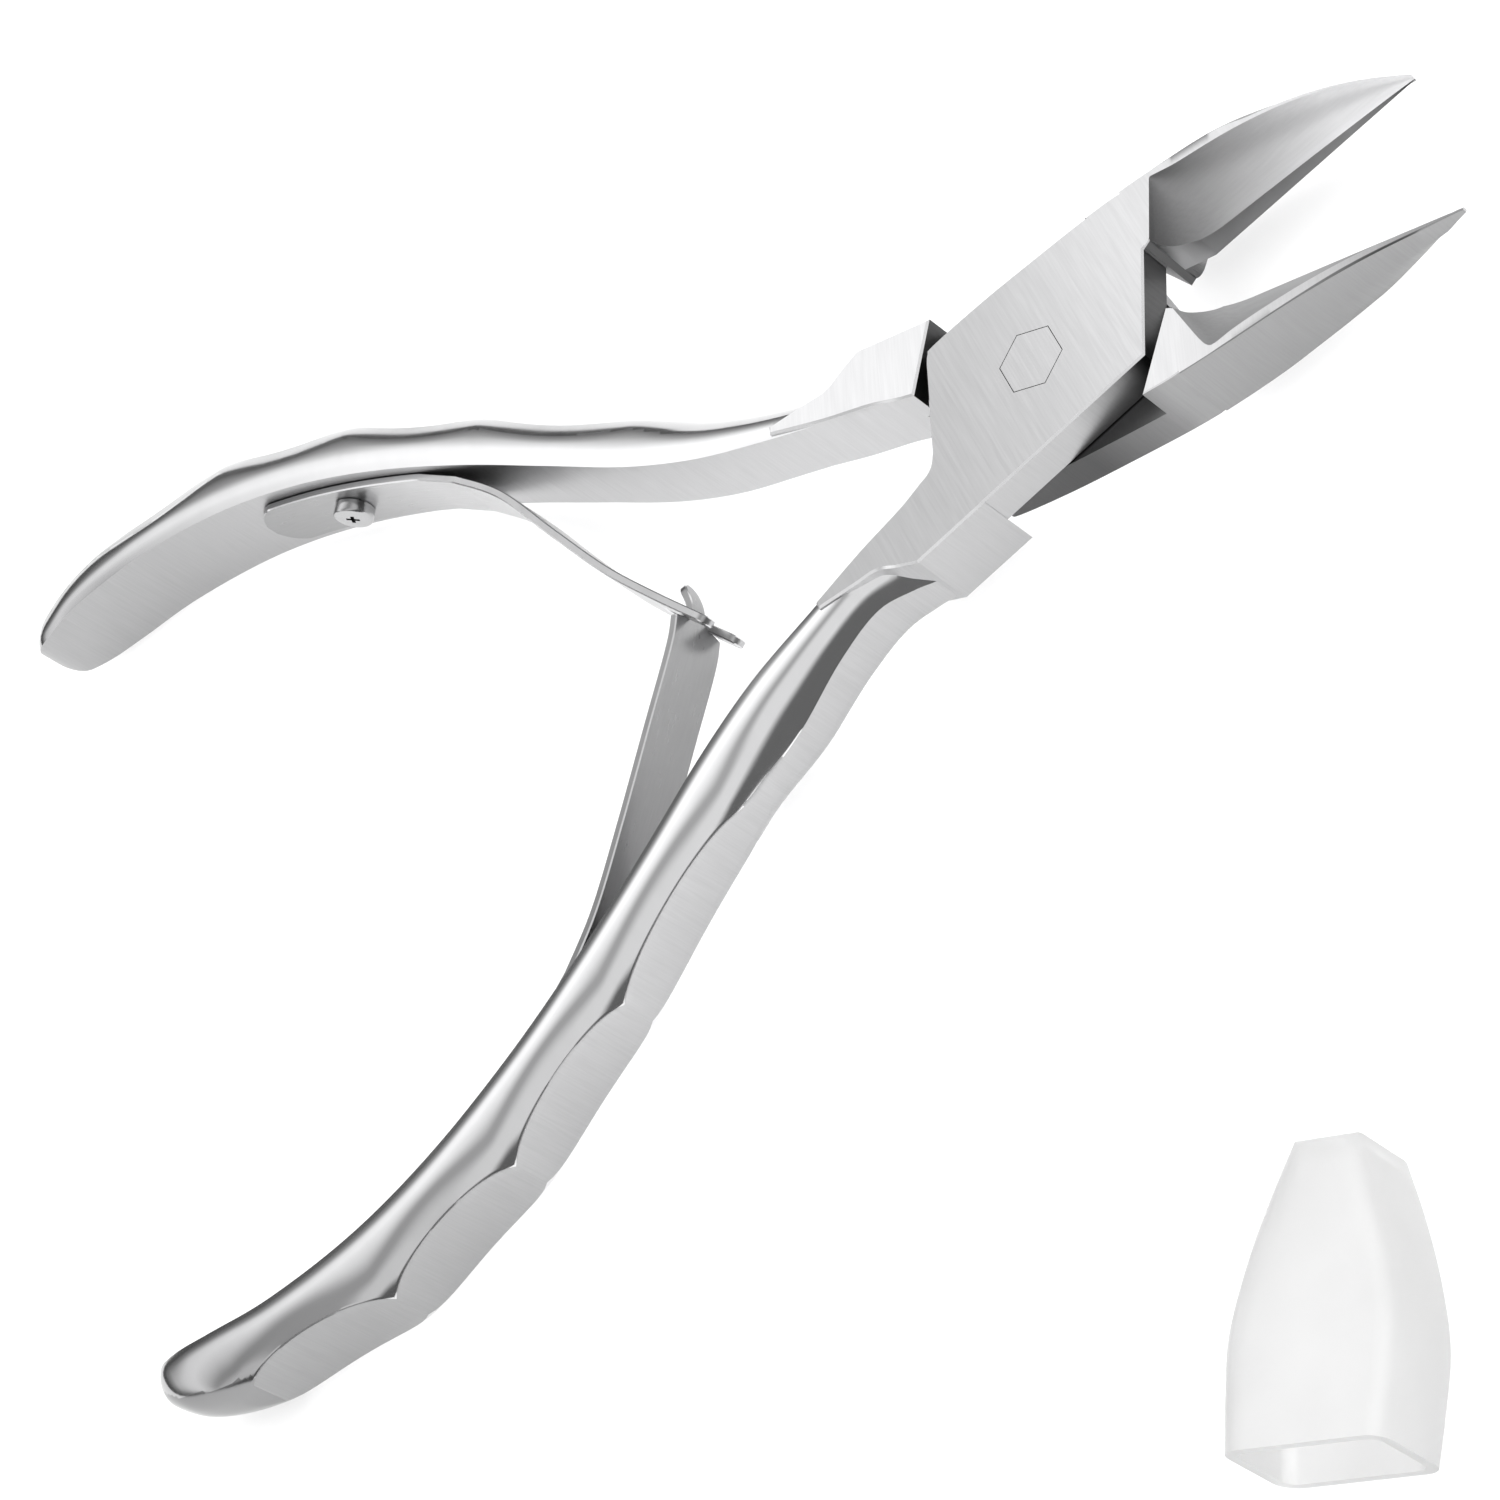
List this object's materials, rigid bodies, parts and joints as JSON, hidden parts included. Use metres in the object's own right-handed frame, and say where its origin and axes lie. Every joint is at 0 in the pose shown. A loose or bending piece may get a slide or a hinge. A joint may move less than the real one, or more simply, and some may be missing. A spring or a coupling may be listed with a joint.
{
  "type": "nail nipper",
  "caption": "Lap-jointed steel nail nipper lying open, with ground finger scallops, hooked leaf springs and a loose blade cap.",
  "frame": {"origin": "on the pivot axis, at the flat back face of the head", "axes": "+Z along the pivot axis towards the hex head of the rivet, +X towards the jaws along the bisector of the open levers, +Y towards the handle of the back lever"},
  "size_m": [0.1212, 0.1257, 0.0083],
  "materials": {
    "brushed_steel": "satin ground flats with polished rounded sides",
    "rivet_steel": "ground flush with the head",
    "spring_steel": "fine satin, bright edges",
    "screw_steel": "polished",
    "cap_plastic": "milky translucent"
  },
  "bodies": {
    "lever_front": {"lever_front": "brushed_steel", "pivot_rivet": "rivet_steel", "screw_lower": "screw_steel"},
    "lever_back": {"lever_back": "brushed_steel", "screw_upper": "screw_steel"},
    "spring_upper": {"spring_upper": "spring_steel"},
    "spring_lower": {"spring_lower": "spring_steel"},
    "blade_cap": {"blade_cap": "cap_plastic"}
  },
  "joints": [
    {"name": "lever_hinge", "type": "hinge", "parent": "lever_front", "child": "lever_back", "pos_m": [0, 0, 0.003], "axis": [0, 0, 1], "range_deg": [0, 21.3], "stiffness_Nm_per_rad": 0.8},
    {"name": "spring_upper_flex", "type": "hinge", "parent": "lever_back", "child": "spring_upper", "pos_m": [-0.05, 0.0245, 0.0022], "axis": [0, 0, 1], "range_deg": [0, 15], "deforming": ["spring_upper"]},
    {"name": "spring_lower_flex", "type": "hinge", "parent": "lever_front", "child": "spring_lower", "pos_m": [-0.05, -0.0245, 0.0022], "axis": [0, 0, 1], "range_deg": [-15, 0], "deforming": ["spring_lower"]},
    {"name": "cap_lift", "type": "slide", "parent": "lever_front", "child": "blade_cap", "axis": [0, 0, 1], "range_m": [0, 0.03]}
  ],
  "couplings": [
    {"joint": "spring_upper_flex", "follows": "lever_hinge", "ratio": 0.686},
    {"joint": "spring_lower_flex", "follows": "lever_hinge", "ratio": -0.686}
  ]
}
